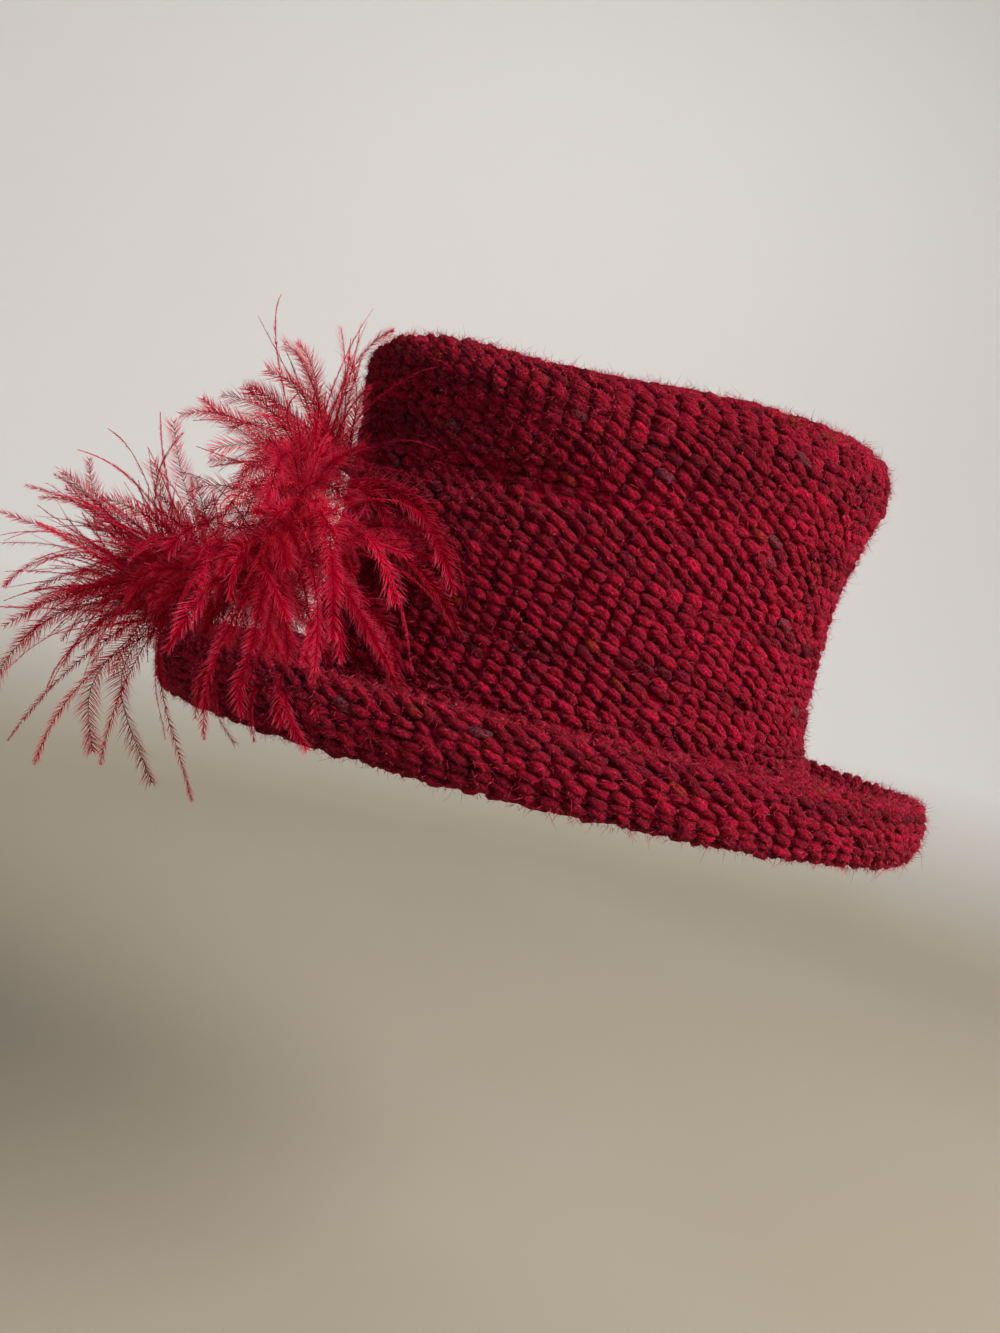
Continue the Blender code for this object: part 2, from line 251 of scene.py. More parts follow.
def groundWool():
    made, tree, shader = newMaterial("wool tweed knit, reverse side", {
        "Roughness": 0.95, "Sheen Weight": 0.12, "Sheen Roughness": 0.5,
        "Sheen Tint": linear(tweed["pileTint"]), "Specular IOR Level": 0.08,
    })
    lay = addNode(tree, "UVMap", {"uv_map": "shellLay"})
    spot = addNode(tree, "TexCoord")
    loops = addNode(tree, "Mapping", {
        "Scale": (1 / (knit["crown"]["across"] / mm), 1 / (knit["crown"]["up"] / mm), 1)}, {
            "Vector": lay.outputs["UV"]})
    cells = addNode(tree, "TexVoronoi", {
        "Scale": 1.0, "Randomness": reverseSide["uneven"], "voronoi_dimensions": "2D"}, {
            "Vector": loops.outputs["Vector"]})
    fibres = addNode(tree, "TexNoise", {"Scale": reverseSide["fibresPerMetre"], "Detail": 3.0}, {
        "Vector": spot.outputs["Object"]})
    cloud = addNode(tree, "TexNoise", {"Scale": reverseSide["cloudsPerMetre"], "Detail": 2.0}, {
        "Vector": spot.outputs["Object"]})
    tone = addNode(tree, "ValToRGB", {"stops": [
        (0.30, tweed["dark"]), (0.5, tweed["middle"]), (0.72, tweed["bright"])]}, {
            "Fac": cloud.outputs["Fac"]})
    # painted shade: each loop is darkened towards the shade colour from its middle out to its edges, between the
    # loops
    deep = addNode(tree, "MapRange", {"From Min": 0.15, "From Max": 0.65, "To Min": 1.0, "To Max": 0.2}, {
        "Value": cells.outputs["Distance"]})
    shaded = addNode(tree, "Mix", {"data_type": "RGBA", 6: linear(tweed["shade"])}, {
        0: deep.outputs["Result"], 7: tone.outputs["Color"]})
    tree.links.new(shaded.outputs[2], shader.inputs["Base Color"])
    both = addNode(tree, "Math", {"operation": "MULTIPLY_ADD", 1: reverseSide["loopShare"]}, {
        0: deep.outputs["Result"], 2: fibres.outputs["Fac"]})
    relief = addNode(tree, "Bump", {"Strength": 1.0, "Distance": reverseSide["reliefMm"] * mm}, {
        "Height": both.outputs["Value"]})
    tree.links.new(relief.outputs["Normal"], shader.inputs["Normal"])
    return made


# Loose wool fibres that stand off the yarn: fine, matt and lighter than the yarn, since light gets between them.
looseWool = {"low": "#6E001C", "middle": "#BC0C36", "high": "#EC5674", "tonesPerMetre": 700.0}


def haloWool():
    made, tree, shader = newMaterial("wool halo, loose fibres", {
        "Roughness": 0.9, "Sheen Weight": 0.2, "Specular IOR Level": 0.15})
    spot = addNode(tree, "TexCoord")
    cloud = addNode(tree, "TexNoise", {"Scale": looseWool["tonesPerMetre"], "Detail": 3.0}, {
        "Vector": spot.outputs["Object"]})
    tone = addNode(tree, "ValToRGB", {"stops": [
        (0.38, looseWool["low"]), (0.56, looseWool["middle"]), (0.72, looseWool["high"])]}, {
            "Fac": cloud.outputs["Fac"]})
    tree.links.new(tone.outputs["Color"], shader.inputs["Base Color"])
    return made


# Dyed ostrich plume: a dark stem and fine limp barbs that glow where light comes through, and a painted glow that
# makes each barb paler to its tip.
plume = {
    # tip is a painted glow colour at the barb ends, where light would come through
    "stem": "#600016", "root": "#A00028", "barb": "#E40A3E", "tip": "#FF6C8E", "sheenTint": "#FFB0BE",
    "roughness": 0.6, "through": 0.55, "palest": 1.25, "deepest": 0.70,
}


def ostrichPlume():
    made, tree, shader = newMaterial("ostrich plume, dyed", {
        "Roughness": plume["roughness"], "Sheen Weight": 0.02, "Sheen Roughness": 0.4,
        "Sheen Tint": linear(plume["sheenTint"]), "Specular IOR Level": 0.06,
    })
    marks = addNode(tree, "Attribute", {"attribute_name": "plumeMarks"})
    split = addNode(tree, "SeparateColor", {}, {"Color": marks.outputs["Color"]})
    # the colour runs from stem to barb tip; its pale end is a painted glow
    paintedTipGlow = addNode(tree, "ValToRGB", {"stops": [
        (0.0, plume["stem"]), (0.12, plume["root"]), (0.45, plume["barb"]), (1.0, plume["tip"])]}, {
            "Fac": split.outputs["Red"]})
    vary = addNode(tree, "MapRange", {"To Min": plume["deepest"], "To Max": plume["palest"]}, {
        "Value": split.outputs["Green"]})
    toned = addNode(tree, "Mix", {"data_type": "RGBA", "blend_type": "MULTIPLY", 0: 1.0}, {
        6: paintedTipGlow.outputs["Color"], 7: vary.outputs["Result"]})
    tree.links.new(toned.outputs[2], shader.inputs["Base Color"])
    glow = addNode(tree, "BsdfTranslucent", {}, {"Color": toned.outputs[2]})
    mixed = addNode(tree, "MixShader", {0: plume["through"]}, {
        1: shader.outputs["BSDF"], 2: glow.outputs["BSDF"]})
    tree.links.new(mixed.outputs["Shader"], tree.nodes["Material Output"].inputs["Surface"])
    return made


# Quill ends bound round the core with cotton thread: matt, with fine turns of thread across it and painted shade
# in the grooves between the turns.
binding = {"paintedGrooveShade": "#4A0616", "thread": "#8C1230", "turnScale": 300.0, "reliefMm": 0.3}


def boundCore():
    made, tree, shader = newMaterial("cotton thread bound over quills", {
        "Roughness": 0.8, "Sheen Weight": 0.2})
    spot = addNode(tree, "TexCoord")
    turns = addNode(tree, "TexWave", {
        "Scale": binding["turnScale"], "Distortion": 3.0, "bands_direction": "Z"}, {
            "Vector": spot.outputs["Object"]})
    # painted shade: the grooves between the thread turns are darkened
    tone = addNode(tree, "ValToRGB", {"stops": [(0.0, binding["paintedGrooveShade"]), (1.0, binding["thread"])]}, {
        "Fac": turns.outputs["Fac"]})
    tree.links.new(tone.outputs["Color"], shader.inputs["Base Color"])
    relief = addNode(tree, "Bump", {"Strength": 0.6, "Distance": binding["reliefMm"] * mm}, {
        "Height": turns.outputs["Fac"]})
    tree.links.new(relief.outputs["Normal"], shader.inputs["Normal"])
    return made


# Meshes of many copies
def formOf(made):  # points and triangles of a bmesh form
    bmesh.ops.triangulate(made, faces=made.faces[:])
    bmesh.ops.recalc_face_normals(made, faces=made.faces[:])
    points = np.array([v.co[:] for v in made.verts])
    faces = np.array([[v.index for v in f.verts] for f in made.faces])
    made.free()
    return points, faces


def meshOf(name, points, faces, finish, marks=None, marksName=None):
    mesh = bpy.data.meshes.new(name)
    mesh.from_pydata(points.reshape(-1, 3).tolist(), [], faces.reshape(-1, 3).tolist())
    if marks is not None:
        colours = mesh.color_attributes.new(marksName, "FLOAT_COLOR", "POINT")
        colours.data.foreach_set("color", np.ascontiguousarray(marks, dtype=np.float32).ravel())
    mesh.shade_smooth()
    mesh.materials.append(finish)
    piece = bpy.data.objects.new(name, mesh)
    bpy.context.scene.collection.objects.link(piece)
    return piece


def copyFaces(faces, count, size):  # the form's triangles for each of its copies
    return (faces[None] + (np.arange(count) * size)[:, None, None]).reshape(-1, 3)


def marksOf(red, green, blue):  # one colour for each point, with a full alpha
    return np.stack([red, green, blue, np.ones(len(red))], -1)


def bladeForm(lengths, narrows):  # a flat blade along X that narrows to a point
    made = bmesh.new()
    bmesh.ops.create_grid(made, x_segments=lengths, y_segments=1, size=0.5)
    bmesh.ops.translate(made, verts=made.verts, vec=(0.5, 0, 0))
    for vert in made.verts:
        vert.co.y *= 1 - narrows * vert.co.x if vert.co.x < 0.9 else 0
    bmesh.ops.remove_doubles(made, verts=made.verts, dist=0.01)
    return formOf(made)


def addUv(mesh, name, values):  # one UV pair for each point
    corners = np.empty(len(mesh.loops), dtype=np.int32)
    mesh.loops.foreach_get("vertex_index", corners)
    layer = mesh.uv_layers.new(name=name)
    layer.data.foreach_set("uv", np.ascontiguousarray(values[corners], dtype=np.float32).ravel())


# Knit: each stitch shows as one slanted grain of yarn, and each row sits a little further round than the last.
knit = {
    "crown": {
        "across": 7.4 * mm, "up": 3.88 * mm, "slant": -30, "long": 8.5 * mm, "tall": 3.9 * mm,
        "evenRows": 31, "groundRings": 44, "seed": 21,
    },
    "brim": {
        "across": 7.4 * mm, "up": 3.45 * mm, "slant": 20, "long": 8.6 * mm, "tall": 3.5 * mm,
        "evenRows": 0, "groundRings": 32, "seed": 22,
    },
    "deep": 4.2 * mm, "lumps": 0.23 * mm, "proud": 0.7 * mm, "rowShift": 0.088, "tipReach": 0.97,
    "groundInset": 2.3 * mm, "groundColumns": 100, "blunt": 0.85, "dive": 0.65,
    "leanSpread": 7, "sizeSpread": 0.10, "acrossSpread": 0.45 * mm, "upSpread": 0.35 * mm, "outSpread": 0.35 * mm,
    "toneStep": 0.07, "toneHeld": 0.85, "toneSpread": 0.07, "napFrom": 0.3, "napCentre": 0.8 * mm,
}
fleckShares = (  # share of the stitches up to this kind of fleck, its mark in the yarn's green channel
    (0.018, 0.2), (0.026, 0.5), (0.037, 0.75), (0.062, 1.0),
)


def stitchForm():  # one visible loop of yarn, a grain that dives at both ends
    made = bmesh.new()
    bmesh.ops.create_uvsphere(made, u_segments=7, v_segments=5, radius=0.5)
    bmesh.ops.rotate(made, verts=made.verts, matrix=Matrix.Rotation(radians(90), 3, "Y"))
    points, faces = formOf(made)
    points[:, 0] = np.sign(points[:, 0]) * np.abs(points[:, 0] * 2) ** knit["blunt"] / 2
    points[:, 1] += points[:, 0] ** 3
    points[:, 2] -= knit["dive"] * points[:, 0] ** 2
    return points, faces


def rowPlaces(surface, last, pitch):
    steps = np.linspace(0, last, 400)
    rings = surface(allRound[None, :], steps[:, None])
    gone = np.concatenate([[0], np.linalg.norm(np.diff(rings, axis=0), axis=-1).mean(1).cumsum()])
    count = int(gone[-1] / pitch)
    return np.interp((np.arange(count) + 0.5) * gone[-1] / count, gone, steps)


def stitchPlaces(surface, last, gauge):  # angle, place and width of every stitch, row by row
    found = []
    fine = np.linspace(0, 360, 361)
    fullCount = None
    for row, place in enumerate(rowPlaces(surface, last, gauge["up"])):
        ring = surface(fine - 90, np.full(fine.shape, place))
        gone = np.concatenate([[0], np.linalg.norm(np.diff(ring, axis=0), axis=-1).cumsum()])
        count = max(int(round(gone[-1] / gauge["across"])), 3)
        if row < gauge["evenRows"]:
            fullCount = fullCount or count
            count = fullCount
        spots = (np.arange(count) + knit["rowShift"] * row) % count / count * gone[-1]
        angle = np.interp(spots, gone, fine) - 90
        found.append(np.stack([angle, np.full(count, place), np.full(count, gone[-1] / count)], -1))
    return np.concatenate(found)


def knitPiece(name, surface, last, side, gauge, finish):
    rng = np.random.default_rng(gauge["seed"])
    spots = stitchPlaces(surface, last, gauge)
    count = len(spots)
    form, faces = stitchForm()
    size = len(form)
    here, along, up, out = surfaceFrame(surface, spots[:, 0], spots[:, 1], side)
    lean = np.radians(gauge["slant"] + rng.normal(0, knit["leanSpread"], count))[:, None]
    yarn = along * np.cos(lean) + up * np.sin(lean)
    cross = np.cross(out, yarn)
    full = np.stack([
        spots[:, 2] / gauge["across"] * gauge["long"],
        np.full(count, gauge["tall"]), np.full(count, knit["deep"])], -1)
    scale = rng.normal(1, knit["sizeSpread"], (count, 3)) * full
    here = here + along * rng.normal(0, knit["acrossSpread"], (count, 1)) \
        + up * rng.normal(0, knit["upSpread"], (count, 1))
    here = here + out * (knit["proud"] - knit["deep"] / 2 + rng.normal(0, knit["outSpread"], (count, 1)))
    sized = form[None] * scale[:, None]
    ways = (yarn, cross, out)
    points = here[:, None] + sum(sized[..., k:k + 1] * way[:, None] for k, way in enumerate(ways))
    points = points + rng.normal(0, knit["lumps"], points.shape)
    tone = np.empty(count)
    level = 0.5
    for k, step in enumerate(rng.normal(0, knit["toneStep"], count)):  # the yarn's tone drifts along the row
        level = 0.5 + knit["toneHeld"] * (level - 0.5) + step
        tone[k] = level
    tone = np.clip(tone + rng.normal(0, knit["toneSpread"], count), 0, 1)
    pick = rng.random(count)
    fleck = np.select([pick < share for share, mark in fleckShares], [mark for share, mark in fleckShares], 0)
    # rise is how high each point sits in its stitch; the yarn material darkens the low points with painted shade
    rise = form[:, 2] - form[:, 2].min()
    rise = rise / rise.max()
    marks = marksOf(np.repeat(tone, size), np.repeat(fleck, size), np.tile(rise, count))
    piece = meshOf(name, points, copyFaces(faces, count, size), finish, marks, "yarnMarks")
    around = np.arctan2(form[:, 1], form[:, 2]) * gauge["tall"] / 2 / mm
    lay = np.stack([
        (sized[..., 0] / mm + rng.random((count, 1)) * 50).ravel(), np.tile(around, count)], -1)
    addUv(piece.data, "yarnLay", lay)
    print(name, count, "stitches", len(piece.data.polygons), "triangles")
    napSpots = points[:, rise > knit["napFrom"]]
    napOuts = unit(napSpots - (here - out * knit["napCentre"])[:, None])
    return piece, napSpots.reshape(-1, 3), napOuts.reshape(-1, 3)


def groundShell(name, surface, last, side, gauge, finish):  # the ground under the stitches, and the inner face
    made = bmesh.new()
    bmesh.ops.create_grid(
        made, x_segments=knit["groundColumns"], y_segments=gauge["groundRings"], size=0.5, calc_uvs=False)
    grid = np.array([v.co[:2] for v in made.verts]) + 0.5
    here, along, up, out = surfaceFrame(surface, grid[:, 0] * 360, grid[:, 1] * last, side)
    here = here - out * knit["groundInset"]
    lay = made.loops.layers.uv.new("shellLay")
    climbed = surface(0.0, np.linspace(0, last, 200))
    ringed = surface(np.linspace(0, 360, 200), last * 0.6)  # a ring of about the mean girth
    lengths = [np.linalg.norm(np.diff(line, axis=0), axis=-1).sum() / mm for line in (ringed, climbed)]
    for face in made.faces:
        for corner in face.loops:
            u, v = grid[corner.vert.index]
            corner[lay].uv = (u * lengths[0], v * lengths[1])
    for vert, point in zip(made.verts, here):
        vert.co = point
    bmesh.ops.remove_doubles(made, verts=made.verts, dist=0.01 * mm)
    if side < 0:
        bmesh.ops.reverse_faces(made, faces=made.faces[:])
    mesh = bpy.data.meshes.new(name)
    made.to_mesh(mesh)
    made.free()
    mesh.shade_smooth()
    mesh.materials.append(finish)
    piece = bpy.data.objects.new(name, mesh)
    bpy.context.scene.collection.objects.link(piece)
    wall = piece.modifiers.new("wall", "SOLIDIFY")
    wall.thickness = hatBlock["wall"] - knit["groundInset"]
    wall.offset = -1
    return piece


# Tufts: fronds spring from the core, which runs from the crown down to the brim.
boa = {
    "coreRest": 0.0008, "upperStand": 0.017, "lowerStand": 0.028, "frontStand": 0.014, "aheadShare": 0.17,
    "frondLength": 0.080, "upperSeat": (20, 0.54), "lowerSeat": (28, 0.24), "frontAngle": 8, "rimTop": 8,
}
upperLocks = (  # turn, rise, length, droop
    (6, 6, 0.72, 0.05), (-26, 12, 0.62, 0.05), (20, 24, 0.62, 0.05), (-8, 44, 0.52, 0.00),
    (32, 58, 0.62, 0.00), (-20, 68, 0.70, 0.00), (110, 74, 0.68, 0.04), (-34, -24, 0.56, 0.06),
    (12, -26, 0.52, 0.06),
    (-70, 34, 0.46, 0.05), (66, 34, 0.50, 0.12), (112, 20, 0.58, 0.06),
)
lowerLocks = (
    (30, 24, 0.60, 0.80), (62, 32, 0.62, 1.00), (94, 34, 0.84, 1.26), (109, 30, 0.94, 1.08),
    (121, 38, 1.22, 1.20), (133, 24, 1.12, 0.72), (146, 16, 0.98, 0.42), (18, -4, 0.46, 0.26),
    (52, -10, 0.50, 0.28), (86, -8, 0.56, 0.28), (70, 64, 0.50, 0.30), (122, 54, 0.54, 0.24),
)
frontLocks = (
    (0, 6, 0.98, 0.06), (-24, 22, 0.86, 0.10), (24, 20, 0.88, 0.10), (4, 40, 0.86, 0.02),
    (-20, 58, 0.68, 0.00), (26, 72, 0.52, 0.00), (-52, 34, 0.62, 0.12), (-10, -4, 0.90, 0.58),
    (14, 10, 0.74, 1.12), (36, 22, 0.60, 1.16), (60, 30, 0.58, 1.24), (-38, 12, 0.70, 0.96),
)


def crownAt(seat, stand):  # a point that stands off the crown
    angle, height = seat
    place = np.interp(height, [row[0] for row in crownSections], range(len(crownSections)))
    here, along, up, out = surfaceFrame(crownSurface, np.array(float(angle)), np.array(place), 1)
    return here + out * stand


def coreStops():
    rim = brimSurface(float(boa["frontAngle"]), float(boa["rimTop"]))
    front = rim + np.array([0, -boa["frontStand"] * boa["aheadShare"], boa["frontStand"]])
    return np.stack([
        crownAt(boa["upperSeat"], boa["coreRest"]), crownAt(boa["upperSeat"], boa["upperStand"]),
        crownAt(boa["lowerSeat"], boa["lowerStand"]), front, rim + np.array([0, 0, boa["coreRest"]])])


def stemForm(steps):  # a three-sided stem of unit length and radius, to be tapered and bent
    made = bmesh.new()
    bmesh.ops.create_circle(made, segments=3, radius=1, cap_ends=True)
    bmesh.ops.rotate(made, verts=made.verts, matrix=Matrix.Rotation(radians(90), 3, "Y"))
    edges = made.edges[:]
    for step in range(steps):
        grown = bmesh.ops.extrude_edge_only(made, edges=edges)["geom"]
        edges = [g for g in grown if isinstance(g, bmesh.types.BMEdge) and all(v in grown for v in g.verts)]
        ends = [g for g in grown if isinstance(g, bmesh.types.BMVert)]
        bmesh.ops.translate(made, verts=ends, vec=(1 / steps, 0, 0))
    bmesh.ops.contextual_create(made, geom=edges)
    return formOf(made)


frondMake = {
    "steps": 24, "stations": 15, "stemRadius": 0.26 * mm, "barbWidth": 0.22 * mm, "barbNarrows": 0.35,
    "clearance": 1.6 * mm, "underBrim": 34 * mm, "belowBase": 8 * mm, "rimRow": 11, "smoothings": 6,
    "gravity": (0, 0.22, -0.975), "rootScatter": 1.0 * mm, "rootStand": 2 * mm, "upwards": 0.35, "slack": 1.08,
    "clumpLength": 3.5 * mm, "clumpDepth": 0.22,
}
frondKinds = {  # pairs of barbs a metre, their angles to the stem in degrees, and how far along they stay long
    "vane": {"barb": 7.6 * mm, "pairs": 1700, "atRoot": 62, "atTip": 34, "holds": 0.94, "stemTone": 0.03},
    "strand": {"barb": 2.6 * mm, "pairs": 1400, "atRoot": 32, "atTip": 15, "holds": 0.80, "stemTone": 0.45},
    "down": {"barb": 6.0 * mm, "pairs": 1500, "atRoot": 60, "atTip": 32, "holds": 1.0, "stemTone": 0.30},
    "herl": {"barb": 4.2 * mm, "pairs": 1500, "atRoot": 44, "atTip": 30, "holds": 0.95, "stemTone": 0.15},
}


def keptOff(path):  # pushed out of the crown and up off the brim
    angle = np.degrees(np.arctan2(path[:, 0], -path[:, 1]))
    height = np.clip(path[:, 2] / hatBlock["crownHeight"], 0, 0.95)
    place = np.interp(height, [row[0] for row in crownSections], range(crownLast + 1))
    ring = np.linalg.norm(crownSurface(angle, place)[:, :2], axis=-1) + frondMake["clearance"]
    reach = np.linalg.norm(path[:, :2], axis=-1)
    tall = (path[:, 2] > -frondMake["belowBase"]) & (path[:, 2] < hatBlock["crownHeight"])
    beside = tall & (reach < ring)
    path[:, :2] *= np.where(beside, ring / np.maximum(reach, 1e-6), 1)[:, None]
    reach = np.linalg.norm(path[:, :2], axis=-1)
    inner = np.linalg.norm(brimSurface(angle, 0.0)[:, :2], axis=-1)
    edge = np.linalg.norm(brimSurface(angle, float(frondMake["rimRow"]))[:, :2], axis=-1)
    share = np.clip((reach - inner) / (edge - inner), 0, 1)
    topRows = brimSections[:frondMake["rimRow"] + 1]
    top = brimSurface(angle, np.interp(share, [row[0] for row in topRows], range(len(topRows))))[:, 2]
    top, edge = top + frondMake["clearance"], edge + frondMake["clearance"]
    sunk = (reach < edge) & (path[:, 2] < top) & (path[:, 2] > -frondMake["underBrim"])
    outwards = sunk & (edge - reach < top - path[:, 2])
    path[:, :2] *= np.where(outwards, edge / np.maximum(reach, 1e-6), 1)[:, None]
    path[:, 2] = np.where(sunk & ~outwards, top, path[:, 2])
    for turn in range(frondMake["smoothings"]):
        path[1:-1] = (path[:-2] + 2 * path[1:-1] + path[2:]) / 4
    return path


def hungPath(root, via, tip):  # over a point and down to the tip
    return keptOff(smoothRows([root, via, tip], np.linspace(0, 2, frondMake["steps"] + 1)))


def grownPath(root, ahead, length, pull, swirl, tip=None):  # a frond bends more where it is thin
    steps, gravity = frondMake["steps"], np.array(frondMake["gravity"])
    points, way = [root], ahead
    for k in range(steps):
        way = unit(way + (gravity * pull * k / steps + swirl * (0.3 + k / steps)) / steps)
        points.append(points[-1] + way * length / steps)
    points = np.array(points)
    if tip is not None:
        points += np.linspace(0, 1, steps + 1)[:, None] ** 1.3 * (tip - points[-1])
    return keptOff(points)


def alongPath(frond, s):  # points, ways along, the frond's flat side and its face at shares s of its length
    steps = frondMake["steps"]
    place = np.clip(s, 0, 1) * steps
    points = smoothRows(frond["path"], place)
    ahead = unit(smoothRows(frond["path"], np.minimum(place + 0.4, steps))
                 - smoothRows(frond["path"], np.maximum(place - 0.4, 0)))
    flat = unit(frond["flat"] - ahead * (frond["flat"] * ahead).sum(-1, keepdims=True))
    return points, ahead, flat, np.cross(ahead, flat)


def frondPiece(name, fronds, finish, seed):
    rng = np.random.default_rng(seed)
    stem, stemFaces = stemForm(frondMake["stations"] - 1)
    barb, barbFaces = bladeForm(2, frondMake["barbNarrows"])
    points, faces, marks = [], [], []
    total = 0
    for frond in fronds:
        kind = frondKinds[frond["kind"]]
        at, ahead, flat, face = alongPath(frond, stem[:, 0])
        radius = frondMake["stemRadius"] * (1 - 0.8 * stem[:, :1]) * frond["thick"]
        points.append(at + radius * (stem[:, 1:2] * flat + stem[:, 2:3] * face))
        faces.append(stemFaces + total)
        total += len(stem)
        marks.append(np.tile([kind["stemTone"], frond["tone"], 0, 1], (len(stem), 1)))
        length = np.linalg.norm(np.diff(frond["path"], axis=0), axis=-1).sum()
        pairs = int(kind["pairs"] * length)
        s = np.clip(np.repeat(np.linspace(0.03, 1, pairs), 2) + rng.normal(0, 0.004, 2 * pairs), 0, 1)
        at, ahead, flat, face = alongPath(frond, s)
        hand = np.tile([1, -1], pairs)[:, None]
        lean = kind["atRoot"] + (kind["atTip"] - kind["atRoot"]) * s ** 1.5
        lean = np.radians(lean + rng.normal(0, 8, 2 * pairs))[:, None]
        wave = np.sin(s * length / frondMake["clumpLength"] + frond["tone"] * 20)
        clump = 1 + frondMake["clumpDepth"] * wave  # barbs cling together in locks
        full = np.interp(s, [0, 0.10, 0.45 * kind["holds"], kind["holds"], 1.0], [0.55, 0.9, 1.0, 0.72, 0.28])
        grown = (kind["barb"] * frond["wide"] * full * clump * rng.uniform(0.72, 1.12, 2 * pairs))[:, None, None]
        stray = rng.normal(0, 0.22, (2 * pairs, 1))
        out = unit(ahead * np.cos(lean) + flat * np.sin(lean) * hand + face * stray)
        cross = unit(np.cross(out, face))
        bend = ahead * 0.45 + face * (frond["cup"] + rng.normal(0, 0.2, (2 * pairs, 1)))
        x, y = barb[None, :, 0:1], barb[None, :, 1:2]
        made = at[:, None] + grown * (x * out[:, None] + x ** 2 * 0.5 * bend[:, None]) \
            + y * frondMake["barbWidth"] * cross[:, None]
        points.append(made.reshape(-1, 3))
        faces.append(copyFaces(barbFaces, 2 * pairs, len(barb)) + total)
        total += made.shape[0] * made.shape[1]
        paintedTipGlow = np.tile(np.clip(barb[:, 0], 0, 1) * 0.8 + 0.15, 2 * pairs)  # painted glow, paler to the barb's tip
        marks.append(marksOf(paintedTipGlow, np.full(len(paintedTipGlow), frond["tone"]), np.zeros(len(paintedTipGlow))))
    points, faces, marks = (np.concatenate(rows) for rows in (points, faces, marks))
    piece = meshOf(name, points, faces, finish, marks, "plumeMarks")
    print(name, len(fronds), "fronds", len(piece.data.polygons), "triangles")
    return piece


# How many fronds of each kind fill a tuft, and where single ones end, in millimetres. places are along the core.
fillKinds = {"vane": (16, 0.92), "herl": (16, 0.96), "strand": (18, 1.0), "down": (20, 0.36)}  # spread, length
kindLetters = {"v": "vane", "s": "strand", "h": "herl"}
tuftPlan = {
    "upper": {
        "locks": upperLocks, "places": (0.25, 1.40), "lyingFrom": 60, "seed": 41,
        "fill": {"vane": 46, "strand": 20, "down": 70},
        "hung": (),
        "tips": (
            (20, -142, 130, "s"), (35, -103, 129, "s"), (45, -92, 121, "h"), (30, -167, 74, "v"),
            (10, -166, 84, "v"), (45, -134, 96, "v"), (20, -152, 43, "v"), (40, -144, 37, "v"),
            (72, -63, 79, "s"), (76, -62, 67, "s"), (30, -129, 111, "v"), (45, -144, 71, "v"),
            (50, -105, 107, "v"), (50, -135, 54, "v"), (60, -68, 108, "s"), (64, -84, 52, "v"),
            (52, -96, 98, "v"), (46, -98, 90, "v"),
        ),
    },
    "lower": {
        "locks": lowerLocks, "places": (1.45, 2.60), "lyingFrom": 180, "seed": 42,
        "fill": {"vane": 84, "strand": 30, "down": 165},
        "hung": (),
        "tips": (
            (96, -115, -36, "h"), (102, -100, -14, "v"), (106, -88, -14, "h"), (116, -74, -27, "v"),
            (113, -72, -17, "v"), (108, -54, -4, "v"), (94, -42, 19, "s"), (90, -49, 26, "s"),
            (86, -63, 40, "v"), (98, -64, 7, "v"), (66, -130, -7, "v"), (62, -122, 11, "v"),
            (72, -86, 56, "v"), (84, -95, 10, "v"), (40, -129, 37, "v"), (88, -118, -20, "v"),
            (98, -80, 0, "v"), (80, -110, -4, "v"), (34, -118, -6, "v"), (44, -126, -8, "v"),
            (30, -132, -6, "v"), (52, -134, -8, "v"), (40, -140, -4, "v"), (24, -126, -4, "v"),
            (58, -120, -8, "v"), (66, -124, -10, "v"), (36, -112, -2, "v"), (48, -110, -2, "v"),
            (60, -108, -4, "v"), (92, -118, -30, "v"), (56, -96, -6, "v"), (62, -90, -4, "v"),
            (66, -98, -8, "v"), (50, -92, 2, "v"), (70, -88, -6, "v"), (58, -84, 4, "v"),
            (52, -104, -6, "v"), (74, -100, -12, "v"), (64, -104, -8, "v"), (48, -98, -2, "v"),
            (76, -92, -10, "v"), (68, -80, -2, "v"), (40, -104, -4, "v"), (44, -98, 0, "v"),
            (36, -108, -6, "v"), (48, -92, 2, "v"), (42, -112, -8, "v"), (50, -110, -8, "v"),
            (46, -104, -10, "v"), (42, -138, -14, "v"), (38, -132, -16, "v"), (46, -136, -18, "v"),
            (34, -140, -12, "v"), (60, -92, 20, "v"), (56, -94, 30, "v"), (64, -90, 10, "v"),
            (50, -96, 24, "v"), (62, -96, 40, "v"), (54, -98, 12, "v"), (58, -88, 0, "v"),
            (48, -100, 30, "v"), (66, -88, 28, "v"), (98, -108, -26, "h"), (104, -98, -24, "v"),
            (108, -92, -30, "h"), (112, -84, -22, "v"), (90, -122, -22, "h"), (100, -104, -34, "v"),
        ),
    },
    "front": {
        "locks": frontLocks, "places": (2.5, 3.80), "lyingFrom": 180, "seed": 43,
        "fill": {"vane": 32, "herl": 40, "strand": 124, "down": 126},
        "hung": (  # the point that it hangs over, its tip and its kind
            ((62, -147, -14), (82, -118, -60), "h"), ((35, -167, -30), (56, -140, -63), "v"),
            ((36, -176, -32), (50, -166, -58), "v"), ((56, -150, -12), (66, -136, -44), "h"),
        ),
        "tips": (
            (20, -228, 10, "s"), (30, -211, 32, "s"), (15, -209, 52, "s"), (0, -205, 64, "s"),
            (10, -180, 54, "v"), (30, -147, 45, "v"), (25, -221, -13, "s"), (40, -208, -37, "h"),
            (45, -188, -69, "h"), (50, -162, -62, "h"), (30, -206, -66, "h"), (40, -196, 3, "h"),
            (50, -201, -24, "v"), (20, -225, -2, "s"), (12, -222, 22, "s"), (34, -216, -50, "v"),
            (15, -220, 30, "h"), (28, -214, 20, "h"), (8, -216, 42, "v"), (22, -224, -8, "h"),
            (32, -216, -22, "v"), (36, -206, -12, "h"), (26, -200, 30, "h"),
        ),
    },
}


